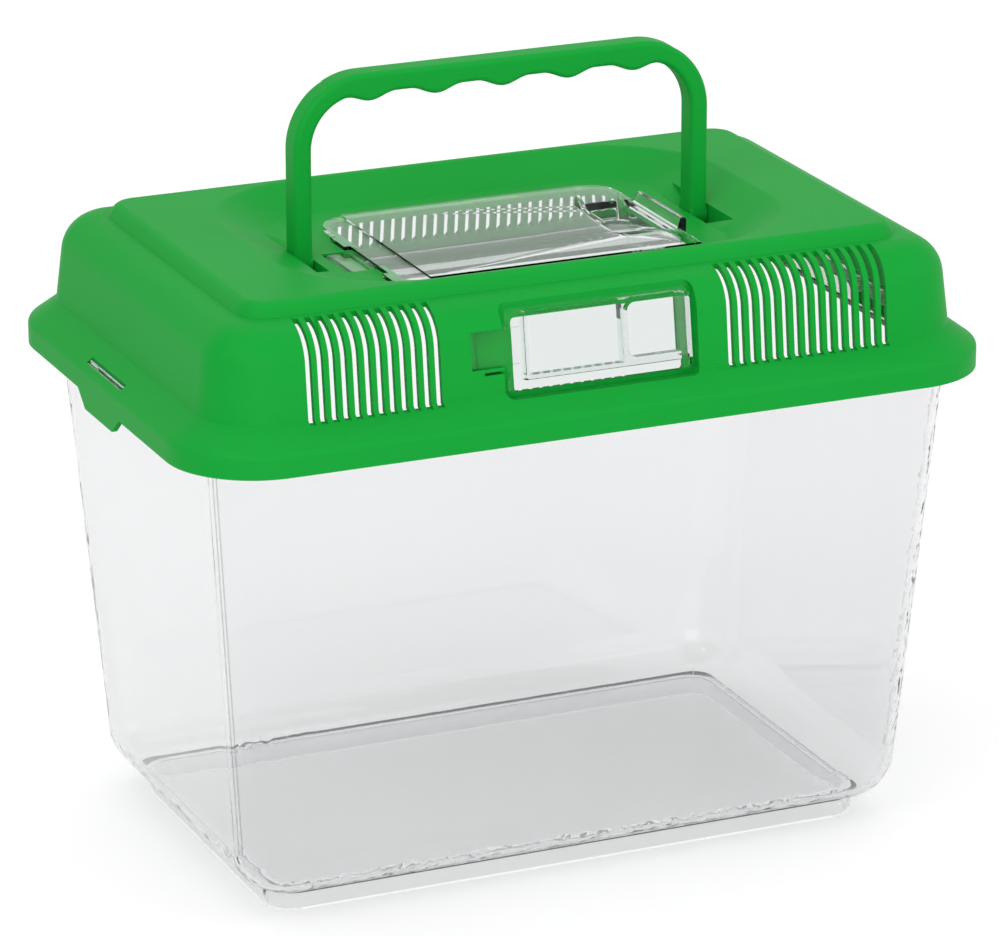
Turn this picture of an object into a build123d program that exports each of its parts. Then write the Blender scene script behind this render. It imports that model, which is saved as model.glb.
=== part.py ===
from build123d import *
import os
from math import atan2, cos, radians, sin, tan

os.makedirs("parts", exist_ok=True)

# ---- overall sizes (mm); +Z up, front is -Y, the floor is z = 0 ----
rim_length = 300.0
rim_width = 197.4
rim_corner = 31.9
wall = 2.0
gap = 0.3  # air between pieces that do not fit each other
pin_play = 0.05  # radial running fit of every hinge pin

# ---- lid, outer form ----
skirt_bottom = 170.3
skirt_top = 178.3
shoulder_top = 185.8
shoulder_inset = 10.2
dome_top = 216.8
dome_draft = 7.0
dome_edge_radius = 14.0
plateau_top = 221.5
plateau_length = rim_length - 54.5
plateau_width = rim_width - 55.5
plateau_corner = 11.0
plateau_draft = 30.0
plateau_edge_radius = 4.0
skirt_edge_radius = 3.0

shoulder_slope = atan2(shoulder_top - skirt_top, shoulder_inset)
dome_inset = shoulder_inset + (dome_top - shoulder_top) * tan(radians(dome_draft))
plateau_inset = (plateau_top - dome_top) * tan(radians(plateau_draft))
shell_drop = wall / cos(shoulder_slope) - wall * tan(shoulder_slope)

# ---- dish in the top of the lid ----
dish_length = plateau_length - 55.5
dish_width = plateau_width - 13.1
dish_corner = 44.0
dish_floor = 213.3
dish_floor_length = dish_length - 46.0
dish_floor_width = dish_width - 32.8
dish_floor_corner = 18.0
dish_floor_radius = 4.0
dish_rim_radius = 5.5

# ---- vent slots ----
slot_width = 2.2
slot_first_x = 46.7
slot_steps = 17  # pitches from the first slot to the start of the rim corner
slot_pitch = (rim_length / 2 - rim_corner - slot_first_x) / slot_steps
slot_bottom = 184.3
slot_inner_y = rim_width / 2 - 25.2
slots_per_group = 15
slots_left_out = 3  # on the left, where the leaf pocket is
rear_slot_count = 41
rear_slot_top = 204.8
slot_depth = rim_width / 2 - slot_inner_y
slot_centre_y = (rim_width / 2 + slot_inner_y) / 2

# ---- handle ----
leg_outer_x = dish_floor_length / 2 + 6.5
leg_thickness = 6.6
handle_depth = 10.0
handle_top = 277.7
handle_corner = 26.0
grip_pitch = (leg_outer_x - handle_corner) / 2.1
grip_bar = 7.4
grip_bump = 2.7
bump_count = 5
bump_radius = 5.0
groove_radius = 8.0
handle_edge_radius = 1.8
pivot_height = dish_floor - 1.0
handle_pin_radius = 1.8
handle_pin_length = 4.5
fold_angle = 70.0  # to the front and to the back
well_gap = 0.4
pivot_radius = handle_depth / 2
well_radius = pivot_radius + well_gap
well_floor = pivot_height - well_radius
well_foot_y = well_radius * cos(radians(fold_angle))
well_foot_z = pivot_height - well_radius * sin(radians(fold_angle))
well_top_y = (
    well_radius + (plateau_top - pivot_height) * sin(radians(fold_angle))
) / cos(radians(fold_angle))
well_end_y = (
    well_radius + (dish_floor + wall - pivot_height) * sin(radians(fold_angle))
) / cos(radians(fold_angle))
well_inner_x = leg_outer_x - leg_thickness - well_gap
well_outer_x = leg_outer_x + well_gap

# ---- flaps ----
flap_thickness = 1.5
barrel_radius = 1.5
flap_pin_radius = 1.1
flap_pin_length = 1.8
pocket_gap = 0.3
cup_corner = 3.0
cup_skin = 1.2

# ---- top flap and its opening ----
top_left_x = 16.0 - dish_floor_length / 2
top_right_x = dish_floor_length / 2 - 15.0
top_front_y = 1.5 - dish_floor_width / 2
top_rear_y = dish_floor_width / 2 - 12.5
top_corner = 12.0
top_panel_left_x = top_left_x + 10.5
top_panel_rise = 2.3
top_panel_edge = 0.5
top_cup_left_x = top_right_x - 23.5
top_cup_right_x = top_right_x - 2.5
top_cup_front_y = top_front_y + 15.5
top_cup_rear_y = top_rear_y - 22.5
top_cup_depth = 4.6
top_cup_left_slope = 6.0
top_cup_right_slope = 3.5
top_cup_front_share = 0.48  # share of the cup's length taken by its sloping front
top_cup_rear_share = 0.2
top_lip_foot = 3.8
top_lip_tip = 2.3
top_lip_lean = 2.5
top_lip_rise = 5.7
top_lip_end_inset = 4.0
top_lip_radius = 0.8
top_hinge_x = 7.0 - dish_floor_length / 2
top_hinge_drop = 2.0
top_leaf_drop = 0.3
top_leaf_half = 11.25
top_leaf_y = (top_front_y + top_rear_y) / 2 - 5.25
top_lug_length = 2.2
top_lug_width = 13.0
opening_ledge = 3.0
opening_ledge_right = 2.0
opening_corner = 6.0

opening_left_x = top_left_x + opening_ledge
opening_right_x = top_right_x - opening_ledge_right
opening_front_y = top_front_y + opening_ledge
opening_rear_y = top_rear_y - opening_ledge
flap_base = dish_floor + gap
panel_top = flap_base + top_panel_rise
top_hinge_z = dish_floor - top_hinge_drop
leaf_top = dish_floor - top_leaf_drop
pocket_floor = top_hinge_z - barrel_radius - gap
pocket_left = top_hinge_x - (leaf_top - top_hinge_z) - pocket_gap

# ---- front recess and flap: u along X, v up the sloping wall, w outwards ----
recess_sink = 3.9  # how far the recess floor lies behind the foot of the dome wall
recess_y = recess_sink + shoulder_inset - rim_width / 2
recess_base = 182.8
recess_tilt = 9.0
recess_left_u = -36.4
recess_right_u = 35.6
recess_height = 32.3
recess_corner = 3.0
recess_reach = 12.0
window_half = 31.5
window_low_v = 1.6
window_high_v = 26.9
window_corner = 1.5
front_left_u = -33.5
front_right_u = 33.4
front_low_v = 2.2
front_high_v = 30.2
front_panel_left_u = -29.0
front_panel_right_u = 28.3
front_panel_low_v = 6.0
front_panel_high_v = 29.4
front_panel_rise = 6.0
front_edge_radius = 0.9
front_lip_thickness = 1.8
front_cup_left_u = 9.0
front_cup_low_v = 9.0
front_lip_rise = 11.0
front_hinge_u = -46.3
front_leaf_low_v = 11.5
front_leaf_high_v = 24.0
leaf_slit_height = 1.0
leaf_slit_length = 7.6
leaf_slit_left_u = -43.6
leaf_slit_v = 9.6
side_slit_width = 0.9
side_slit_height = 5.2
side_slit_u = 34.6
side_slit_v = 5.6

recess_plane = Plane(
    origin=(0, recess_y, recess_base),
    x_dir=(1, 0, 0),
    z_dir=(0, -cos(radians(recess_tilt)), sin(radians(recess_tilt))),
)

# ---- tank ----
tank_neck_length = rim_length - 24.7
tank_neck_width = rim_width - 21.4
tank_neck_corner = 18.0
tank_base_length = tank_neck_length - 25.3
tank_base_width = tank_neck_width - 18.5
tank_base_corner = 19.5
tank_bottom = 7.0
foot_length = tank_base_length - 23.0
foot_width = tank_base_width - 27.0
foot_corner = 11.0
foot_thickness = 2.5
foot_height = tank_bottom + 0.8 * wall
tank_bottom_radius = 17.5
flange_bottom = skirt_bottom + 0.5
collar_gap = 0.6
collar_inset = wall + collar_gap
collar_top = skirt_top - shell_drop - gap + collar_gap * tan(shoulder_slope)

# ---- latch: tank lug in a slot of the shoulder, pull tab under the skirt ----
lug_thickness = 1.5
lug_half_width = 16.6
lug_slot_gap = 0.4
tab_half_width = 20.5
tab_tip_half_width = 13.4
tab_drop = 6.0
lug_outer_x = rim_length / 2 - collar_inset
lug_top = skirt_top + (collar_inset + lug_thickness / 2) * tan(shoulder_slope) - gap


# ================= tank =================
with BuildPart() as tank:
    for height, length, width, corner in (
        (tank_bottom, tank_base_length, tank_base_width, tank_base_corner),
        (flange_bottom + wall, tank_neck_length, tank_neck_width, tank_neck_corner),
    ):
        with BuildSketch(Plane.XY.offset(height)):
            RectangleRounded(length, width, corner)
    loft(ruled=True)
    fillet(tank.faces().sort_by(Axis.Z)[0].edges(), tank_bottom_radius)
    # flange and upright collar under the lid's skirt
    with BuildSketch(Plane.XY.offset(flange_bottom)):
        RectangleRounded(
            rim_length - 2 * collar_inset, rim_width - 2 * collar_inset, rim_corner - collar_inset
        )
    extrude(amount=wall)
    with BuildSketch(Plane.XY.offset(flange_bottom)):
        RectangleRounded(
            rim_length - 2 * collar_inset, rim_width - 2 * collar_inset, rim_corner - collar_inset
        )
        RectangleRounded(
            rim_length - 2 * collar_inset - 2 * wall,
            rim_width - 2 * collar_inset - 2 * wall,
            rim_corner - collar_inset - wall,
            mode=Mode.SUBTRACT,
        )
    extrude(amount=collar_top - flange_bottom)
    # latch lugs on both ends
    for side in (-1, 1):
        with BuildSketch(Plane.XY.offset(flange_bottom)):
            with Locations((side * (lug_outer_x - lug_thickness / 2), 0)):
                Rectangle(lug_thickness, 2 * lug_half_width)
        extrude(amount=lug_top - flange_bottom)
    # foot ring
    with BuildSketch(Plane.XY):
        RectangleRounded(foot_length, foot_width, foot_corner)
        RectangleRounded(
            foot_length - 2 * foot_thickness,
            foot_width - 2 * foot_thickness,
            foot_corner - foot_thickness,
            mode=Mode.SUBTRACT,
        )
    extrude(amount=foot_height)

with BuildPart() as tank_cavity:
    for height, length, width, corner in (
        (tank_bottom + wall, tank_base_length, tank_base_width, tank_base_corner),
        (flange_bottom + wall, tank_neck_length, tank_neck_width, tank_neck_corner),
    ):
        with BuildSketch(Plane.XY.offset(height)):
            RectangleRounded(length - 2 * wall, width - 2 * wall, corner - wall)
    loft(ruled=True)
    fillet(tank_cavity.faces().sort_by(Axis.Z)[0].edges(), tank_bottom_radius - wall)

with BuildPart() as tank_body:
    add(tank.part)
    add(tank_cavity.part, mode=Mode.SUBTRACT)

# ================= lid, inner hollow =================
with BuildPart() as hollow:
    for height, inset in (
        (skirt_bottom, wall),
        (skirt_top - shell_drop, wall),
        (shoulder_top - shell_drop, shoulder_inset + wall),
        (dome_top - wall, dome_inset + wall),
    ):
        with BuildSketch(Plane.XY.offset(height)):
            RectangleRounded(rim_length - 2 * inset, rim_width - 2 * inset, rim_corner - inset)
    loft(ruled=True)
    fillet(hollow.faces().sort_by(Axis.Z)[-1].edges(), dome_edge_radius - wall)
    with BuildSketch(Plane.XY.offset(dome_top - 2 * wall)):
        RectangleRounded(
            plateau_length - 2 * (plateau_inset + wall),
            plateau_width - 2 * (plateau_inset + wall),
            plateau_corner - plateau_inset - wall,
        )
    extrude(amount=plateau_top - dome_top + wall)
    # material kept under the dish
    for height, length, width, corner in (
        (dish_floor - wall, dish_floor_length, dish_floor_width, dish_floor_corner),
        (plateau_top - wall, dish_length, dish_width, dish_corner),
    ):
        with BuildSketch(Plane.XY.offset(height)):
            RectangleRounded(length + 2 * wall, width + 2 * wall, corner + wall)
    loft(ruled=True, mode=Mode.SUBTRACT)
    # material kept round the handle wells
    for side in (-1, 1):
        well_block_outer = well_outer_x + handle_pin_length + wall
        with BuildSketch(Plane.XY.offset(well_floor - wall)):
            with Locations((side * (well_inner_x - wall + well_block_outer) / 2, 0)):
                Rectangle(well_block_outer - well_inner_x + wall, 2 * (well_end_y + wall))
        extrude(amount=plateau_top - well_floor, mode=Mode.SUBTRACT)
    # material kept round the leaf pocket of the top flap
    with BuildSketch(Plane.XY.offset(pocket_floor - wall)):
        with Locations(((pocket_left - wall + opening_left_x) / 2, top_leaf_y)):
            Rectangle(
                opening_left_x - pocket_left + wall,
                2 * (top_leaf_half + pocket_gap + flap_pin_length + wall),
            )
    extrude(amount=plateau_top - pocket_floor, mode=Mode.SUBTRACT)
    # material kept behind the front recess and its leaf pocket
    leaf_pocket_left = front_hinge_u - barrel_radius - pocket_gap
    with BuildSketch(recess_plane.offset(-wall)):
        with Locations(
            ((leaf_pocket_left + recess_right_u) / 2, recess_height / 2),
        ):
            Rectangle(recess_right_u - leaf_pocket_left + 2 * wall, recess_height + 2 * wall)
    extrude(amount=recess_reach, mode=Mode.SUBTRACT)

# ================= lid =================
with BuildPart() as lid:
    for height, inset in (
        (skirt_bottom, 0),
        (skirt_top, 0),
        (shoulder_top, shoulder_inset),
        (dome_top, dome_inset),
    ):
        with BuildSketch(Plane.XY.offset(height)):
            RectangleRounded(rim_length - 2 * inset, rim_width - 2 * inset, rim_corner - inset)
    loft(ruled=True)
    fillet(lid.faces().sort_by(Axis.Z)[-1].edges(), dome_edge_radius)
    fillet(lid.edges().filter_by_position(Axis.Z, skirt_top - gap, skirt_top + gap), skirt_edge_radius)
    # raised top with softened edges
    for height, inset in ((dome_top - wall, 0), (dome_top, 0), (plateau_top, plateau_inset)):
        with BuildSketch(Plane.XY.offset(height)):
            RectangleRounded(
                plateau_length - 2 * inset, plateau_width - 2 * inset, plateau_corner - inset
            )
    loft(ruled=True)
    fillet(lid.faces().sort_by(Axis.Z)[-1].edges(), plateau_edge_radius)
    # rounded dish with soft edges
    for height, length, width, corner in (
        (dish_floor, dish_floor_length, dish_floor_width, dish_floor_corner),
        (plateau_top, dish_length, dish_width, dish_corner),
    ):
        with BuildSketch(Plane.XY.offset(height)):
            RectangleRounded(length, width, corner)
    loft(ruled=True, mode=Mode.SUBTRACT)
    floor_edges = lid.edges().filter_by_position(Axis.Z, dish_floor - gap, dish_floor + gap)
    fillet(floor_edges, dish_floor_radius)
    top_edges = lid.edges().filter_by_position(Axis.Z, plateau_top - gap, plateau_top + gap)
    dish_rim = [
        edge
        for edge in top_edges
        if abs(edge.center().X) < dish_length / 2 + gap and abs(edge.center().Y) < dish_width / 2 + gap
    ]
    fillet(dish_rim, dish_rim_radius)
    add(hollow.part, mode=Mode.SUBTRACT)
    # vent slots: two groups in front, one long row at the back
    front_slots = [
        (side * (slot_first_x + slot_width / 2 + index * slot_pitch), -slot_centre_y)
        for side, first in ((-1, slots_left_out), (1, 0))
        for index in range(first, slots_per_group)
    ]
    with BuildSketch(Plane.XY.offset(slot_bottom)):
        with Locations(*front_slots):
            Rectangle(slot_width, slot_depth)
    extrude(amount=plateau_top - slot_bottom, mode=Mode.SUBTRACT)
    with BuildSketch(Plane.XY.offset(slot_bottom)):
        with Locations((0, slot_centre_y)):
            with GridLocations(slot_pitch, slot_depth, rear_slot_count, 1):
                Rectangle(slot_width, slot_depth)
    extrude(amount=rear_slot_top - slot_bottom, mode=Mode.SUBTRACT)
    # opening under the top flap
    with BuildSketch(Plane.XY.offset(pocket_floor - wall)):
        with Locations(
            ((opening_left_x + opening_right_x) / 2, (opening_front_y + opening_rear_y) / 2)
        ):
            RectangleRounded(
                opening_right_x - opening_left_x, opening_rear_y - opening_front_y, opening_corner
            )
    extrude(amount=plateau_top - pocket_floor + wall, mode=Mode.SUBTRACT)
    # pocket and pin holes of the top flap's leaf
    with BuildSketch(Plane.XY.offset(pocket_floor)):
        with Locations(((pocket_left + opening_left_x) / 2, top_leaf_y)):
            Rectangle(opening_left_x - pocket_left, 2 * (top_leaf_half + pocket_gap))
    extrude(amount=plateau_top - pocket_floor, mode=Mode.SUBTRACT)
    with BuildSketch(Plane.XZ.offset(-top_leaf_y)):
        with Locations((top_hinge_x, top_hinge_z)):
            Circle(flap_pin_radius + pin_play)
    extrude(
        amount=top_leaf_half + flap_pin_length + pocket_gap, both=True, mode=Mode.SUBTRACT
    )
    # handle wells, fanned out for the folding legs, and their pin holes
    for side in (-1, 1):
        with BuildSketch(Plane.YZ.offset(side * well_inner_x)):
            with BuildLine():
                Polyline(
                    (well_foot_y, well_foot_z),
                    (well_top_y, plateau_top),
                    (-well_top_y, plateau_top),
                    (-well_foot_y, well_foot_z),
                    close=True,
                )
            make_face()
            with Locations((0, pivot_height)):
                Circle(well_radius)
        extrude(amount=side * (well_outer_x - well_inner_x), mode=Mode.SUBTRACT)
        with BuildSketch(Plane.YZ.offset(side * well_outer_x)):
            with Locations((0, pivot_height)):
                Circle(handle_pin_radius + pin_play)
        extrude(amount=side * handle_pin_length, mode=Mode.SUBTRACT)
    # front recess, its window, the leaf pocket, pin holes and slits
    with BuildSketch(recess_plane):
        with Locations(((recess_left_u + recess_right_u) / 2, recess_height / 2)):
            RectangleRounded(recess_right_u - recess_left_u, recess_height, recess_corner)
        with Locations(
            ((leaf_pocket_left + recess_left_u) / 2 + wall, (front_leaf_low_v + front_leaf_high_v) / 2)
        ):
            Rectangle(
                recess_left_u - leaf_pocket_left + 2 * wall,
                front_leaf_high_v - front_leaf_low_v + 2 * pocket_gap,
            )
    extrude(amount=recess_reach, mode=Mode.SUBTRACT)
    with BuildSketch(recess_plane.offset(-2 * wall)):
        with Locations((0, (window_low_v + window_high_v) / 2)):
            RectangleRounded(2 * window_half, window_high_v - window_low_v, window_corner)
    extrude(amount=recess_reach, mode=Mode.SUBTRACT)
    front_hinge_w = gap + barrel_radius
    front_pin_span = front_leaf_high_v - front_leaf_low_v + 2 * (flap_pin_length + pocket_gap)
    front_hinge_plane = Plane(
        origin=recess_plane.from_local_coords(
            (front_hinge_u, (front_leaf_low_v + front_leaf_high_v) / 2, front_hinge_w)
        ),
        x_dir=(1, 0, 0),
        z_dir=recess_plane.y_dir,
    )
    with BuildSketch(front_hinge_plane):
        Circle(flap_pin_radius + pin_play)
    extrude(amount=front_pin_span / 2, both=True, mode=Mode.SUBTRACT)
    with BuildSketch(recess_plane.offset(-2 * wall)):
        with Locations((leaf_slit_left_u + leaf_slit_length / 2, leaf_slit_v)):
            Rectangle(leaf_slit_length, leaf_slit_height)
        with Locations((side_slit_u, side_slit_v)):
            Rectangle(side_slit_width, side_slit_height)
    extrude(amount=recess_reach, mode=Mode.SUBTRACT)
    # latch slots and pull tabs on both ends
    for side in (-1, 1):
        with BuildSketch(Plane.XY.offset(skirt_top - 2 * wall)):
            with Locations((side * (lug_outer_x - lug_thickness / 2), 0)):
                Rectangle(lug_thickness + 2 * lug_slot_gap, 2 * (lug_half_width + lug_slot_gap))
        extrude(amount=4 * wall, mode=Mode.SUBTRACT)
        with BuildSketch(Plane.YZ.offset(side * (rim_length / 2 - wall))):
            with BuildLine():
                Polyline(
                    (-tab_half_width, skirt_bottom + wall),
                    (-tab_half_width, skirt_bottom),
                    (-tab_tip_half_width, skirt_bottom - tab_drop),
                    (tab_tip_half_width, skirt_bottom - tab_drop),
                    (tab_half_width, skirt_bottom),
                    (tab_half_width, skirt_bottom + wall),
                    close=True,
                )
            make_face()
        extrude(amount=side * wall)

# ================= handle =================
with BuildPart() as handle:
    inner_x = leg_outer_x - leg_thickness
    bar_low = handle_top - grip_bar
    with BuildSketch(Plane.XZ) as bail:
        with BuildLine():
            FilletPolyline(
                (-leg_outer_x, pivot_height),
                (-leg_outer_x, handle_top),
                (leg_outer_x, handle_top),
                (leg_outer_x, pivot_height),
                radius=handle_corner,
            )
            FilletPolyline(
                (-inner_x, pivot_height),
                (-inner_x, bar_low),
                (inner_x, bar_low),
                (inner_x, pivot_height),
                radius=handle_corner - leg_thickness,
            )
            Line((-leg_outer_x, pivot_height), (-inner_x, pivot_height))
            Line((leg_outer_x, pivot_height), (inner_x, pivot_height))
        make_face()
        bump_z = bar_low - grip_bump + bump_radius
        reach = bump_count // 2
        with Locations(*[(index * grip_pitch, bump_z) for index in range(-reach, reach + 1)]):
            Circle(bump_radius)
        bump_roots = bail.vertices().filter_by_position(Axis.Y, bar_low - gap, bar_low + gap)
        fillet(bump_roots, groove_radius)
    extrude(amount=handle_depth / 2, both=True)
    outline = [
        edge
        for face in handle.faces().filter_by(Axis.Y)
        for edge in face.edges()
        if edge.center().Z > pivot_height + gap
    ]
    fillet(outline, handle_edge_radius)
    for side in (-1, 1):
        with BuildSketch(Plane.YZ.offset(side * (leg_outer_x - leg_thickness))):
            with Locations((0, pivot_height)):
                Circle(pivot_radius)
        extrude(amount=side * leg_thickness)
        with BuildSketch(Plane.YZ.offset(side * (leg_outer_x - leg_thickness))):
            with Locations((0, pivot_height)):
                Circle(handle_pin_radius)
        extrude(amount=side * (leg_thickness + handle_pin_length))

# ================= top flap =================
with BuildPart() as top_door:
    flap_y = (top_front_y + top_rear_y) / 2
    # base plate and the raised panel on it, with rounded rear corners
    for left, edge, rise in (
        (top_left_x, 0, flap_thickness),
        (top_panel_left_x, top_panel_edge, top_panel_rise),
    ):
        with BuildSketch(Plane.XY.offset(flap_base)) as plate:
            with Locations(((left + top_right_x - edge) / 2, flap_y)):
                Rectangle(top_right_x - edge - left, top_rear_y - top_front_y - 2 * edge)
            rear_corners = plate.vertices().group_by(Axis.Y)[-1].sort_by(Axis.X)
            fillet(rear_corners[-1], top_corner - edge)
            if edge == 0:
                fillet(plate.vertices().group_by(Axis.Y)[-1].sort_by(Axis.X)[0], top_corner)
        extrude(amount=rise)
    # sunken finger cup
    cup_length = top_cup_rear_y - top_cup_front_y
    cup_floor = panel_top - top_cup_depth
    for skin, mode in ((cup_skin, Mode.ADD), (0, Mode.SUBTRACT)):
        for height, left, right, front, rear in (
            (panel_top, top_cup_left_x, top_cup_right_x, top_cup_front_y, top_cup_rear_y),
            (
                cup_floor - skin,
                top_cup_left_x + top_cup_left_slope,
                top_cup_right_x - top_cup_right_slope,
                top_cup_front_y + top_cup_front_share * cup_length,
                top_cup_rear_y - top_cup_rear_share * cup_length,
            ),
        ):
            with BuildSketch(Plane.XY.offset(height)):
                with Locations(((left + right) / 2, (front + rear) / 2)):
                    RectangleRounded(
                        right - left + 2 * skin, rear - front + 2 * skin, cup_corner + skin
                    )
        loft(ruled=True, mode=mode)
    # lip that leans outwards along the cup
    lip_x = top_cup_right_x + gap
    for height, lean, thickness, inset in (
        (panel_top - top_panel_rise / 2, 0, top_lip_foot, top_lip_end_inset),
        (flap_base + top_lip_rise, top_lip_lean, top_lip_tip, 2 * top_lip_end_inset),
    ):
        with BuildSketch(Plane.XY.offset(height)):
            with Locations((lip_x + lean + thickness / 2, (top_cup_front_y + top_cup_rear_y) / 2)):
                Rectangle(thickness, cup_length - inset)
    loft(ruled=True)
    fillet(top_door.faces().sort_by(Axis.Z)[-1].edges(), top_lip_radius)
    # corner lugs
    for start in (top_front_y, top_leaf_y + top_leaf_half + gap):
        with BuildSketch(Plane.XY.offset(flap_base)):
            with Locations((top_left_x, start + top_lug_width / 2)):
                Rectangle(2 * top_lug_length, top_lug_width)
        extrude(amount=flap_thickness)
    # hinge leaf, the web that joins it to the plate, barrel and stub pins
    leaf_low = leaf_top - flap_thickness
    for left, high in ((top_hinge_x, leaf_top), (top_left_x, flap_base + flap_thickness)):
        right = top_left_x + flap_thickness
        with BuildSketch(Plane.XY.offset(leaf_low)):
            with Locations(((left + right) / 2, top_leaf_y)):
                Rectangle(right - left, 2 * top_leaf_half)
        extrude(amount=high - leaf_low)
    for radius, half in (
        (barrel_radius, top_leaf_half),
        (flap_pin_radius, top_leaf_half + flap_pin_length),
    ):
        with BuildSketch(Plane.XZ.offset(-top_leaf_y)):
            with Locations((top_hinge_x, top_hinge_z)):
                Circle(radius)
        extrude(amount=half, both=True)

# ================= front flap =================
with BuildPart() as front_door:
    front_base = recess_plane.offset(gap)
    centre_v = (front_low_v + front_high_v) / 2
    panel_v = (front_panel_low_v + front_panel_high_v) / 2
    panel_height = front_panel_high_v - front_panel_low_v
    with BuildSketch(front_base):
        with Locations(((front_left_u + front_right_u) / 2, centre_v)):
            Rectangle(front_right_u - front_left_u, front_high_v - front_low_v)
    extrude(amount=flap_thickness)
    with BuildSketch(front_base):
        with Locations(((front_panel_left_u + front_panel_right_u) / 2, panel_v)):
            Rectangle(front_panel_right_u - front_panel_left_u, panel_height)
    extrude(amount=front_panel_rise)
    panel_edges = front_door.faces().sort_by(Axis.Y)[0].edges().sort_by(Axis.X)
    fillet(panel_edges[:-1], front_edge_radius)
    with BuildSketch(front_base):
        with Locations(((front_panel_left_u + front_cup_left_u) / 2, panel_v)):
            Rectangle(
                front_cup_left_u - front_panel_left_u - 2 * flap_thickness,
                panel_height - 2 * flap_thickness,
            )
    extrude(amount=front_panel_rise - flap_thickness, mode=Mode.SUBTRACT)
    # finger cup
    cup_high_v = front_panel_high_v - flap_thickness
    with BuildSketch(front_base.offset(flap_thickness)):
        with Locations(
            ((front_cup_left_u + front_panel_right_u) / 2 + cup_corner, (front_cup_low_v + cup_high_v) / 2)
        ):
            RectangleRounded(
                front_panel_right_u - front_cup_left_u + 2 * cup_corner,
                cup_high_v - front_cup_low_v,
                cup_corner,
            )
    extrude(amount=front_lip_rise, mode=Mode.SUBTRACT)
    # raised lip
    with BuildSketch(front_base):
        with Locations((front_panel_right_u + front_lip_thickness / 2, (front_cup_low_v + cup_high_v) / 2)):
            Rectangle(front_lip_thickness, cup_high_v - front_cup_low_v + 2 * flap_thickness)
    extrude(amount=front_lip_rise)
    # hinge leaf, barrel and stub pins
    leaf_height = front_leaf_high_v - front_leaf_low_v
    with BuildSketch(front_base.offset(barrel_radius - flap_thickness / 2)):
        with Locations(
            ((front_hinge_u + front_panel_left_u) / 2, (front_leaf_low_v + front_leaf_high_v) / 2)
        ):
            Rectangle(front_panel_left_u - front_hinge_u, leaf_height)
    extrude(amount=flap_thickness)
    for radius, span in (
        (barrel_radius, leaf_height),
        (flap_pin_radius, leaf_height + 2 * flap_pin_length),
    ):
        with BuildSketch(front_hinge_plane):
            Circle(radius)
        extrude(amount=span / 2, both=True)

# ================= export =================
for label, body in (
    ("tank", tank_body),
    ("lid", lid),
    ("handle", handle),
    ("top_door", top_door),
    ("front_door", front_door),
):
    body.part.label = label
    export_step(body.part, f"parts/{label}.step")
print("hinge top", top_hinge_x, top_leaf_y, top_hinge_z)
print("hinge front", front_hinge_plane.origin, front_hinge_plane.z_dir)
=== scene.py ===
"""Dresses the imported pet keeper: clear tub, green vented lid, bail handle and two clear flaps."""

import logging
import math
from dataclasses import dataclass
from enum import Enum

import bmesh
import bpy
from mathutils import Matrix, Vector


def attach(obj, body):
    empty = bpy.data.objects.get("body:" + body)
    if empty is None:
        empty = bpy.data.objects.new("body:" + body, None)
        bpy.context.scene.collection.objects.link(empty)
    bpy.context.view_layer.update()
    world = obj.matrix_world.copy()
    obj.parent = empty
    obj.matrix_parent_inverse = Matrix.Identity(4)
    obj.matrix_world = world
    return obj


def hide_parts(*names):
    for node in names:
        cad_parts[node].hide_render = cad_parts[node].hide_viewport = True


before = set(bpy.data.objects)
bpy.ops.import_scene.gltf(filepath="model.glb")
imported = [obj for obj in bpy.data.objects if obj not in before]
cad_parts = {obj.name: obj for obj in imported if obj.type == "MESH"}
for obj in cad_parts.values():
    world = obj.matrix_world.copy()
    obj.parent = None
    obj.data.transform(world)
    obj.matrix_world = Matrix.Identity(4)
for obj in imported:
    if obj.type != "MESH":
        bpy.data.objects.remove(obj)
log = logging.getLogger("pet_keeper")

MM = 0.001
Triple = tuple[float, float, float]


class Slot(Enum):
    """Material slots of the part's record."""

    CLEAR = "clear_plastic"
    GREEN = "green_plastic"


class Rays(Enum):
    """Light Path outputs that see the white studio instead of the dim one."""

    CAMERA = "Is Camera Ray"
    GLOSSY = "Is Glossy Ray"
    THROUGH = "Is Transmission Ray"


# ---------------------------------------------------------------- node helpers
def new_node(tree: bpy.types.NodeTree, kind: str, **props: object) -> bpy.types.Node:
    """Adds a node and sets its properties.

    Args:
        tree: Node tree that gets the node.
        kind: Blender's name of the node type.
        props: Properties to set on the node.

    Returns:
        The new node.
    """
    node = tree.nodes.new(kind)
    for name, value in props.items():
        setattr(node, name, value)
    return node


def maths(
    tree: bpy.types.NodeTree, operation: str, a: object, b: object = 0.0
) -> bpy.types.NodeSocket:
    """Adds a Math node.

    Args:
        tree: Node tree that gets the node.
        operation: Blender's name of the operation.
        a: First input, a socket or a number.
        b: Second input, a socket or a number, unused where the operation takes one input.

    Returns:
        The socket that puts out the result.
    """
    node = new_node(tree, "ShaderNodeMath", operation=operation)
    for socket, value in zip(node.inputs, (a, b)):
        if isinstance(value, (int, float)):
            socket.default_value = value
        else:
            tree.links.new(value, socket)
    return node.outputs[0]


def to_range(
    tree: bpy.types.NodeTree, value: bpy.types.NodeSocket, low: float, high: float
) -> bpy.types.NodeSocket:
    """Maps a 0 to 1 mask to a range.

    Args:
        tree: Node tree that gets the nodes.
        value: The mask.
        low: Result where the mask is 0.
        high: Result where the mask is 1.

    Returns:
        The socket that puts out the mapped value.
    """
    return maths(tree, "ADD", maths(tree, "MULTIPLY", value, high - low), low)


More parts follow.
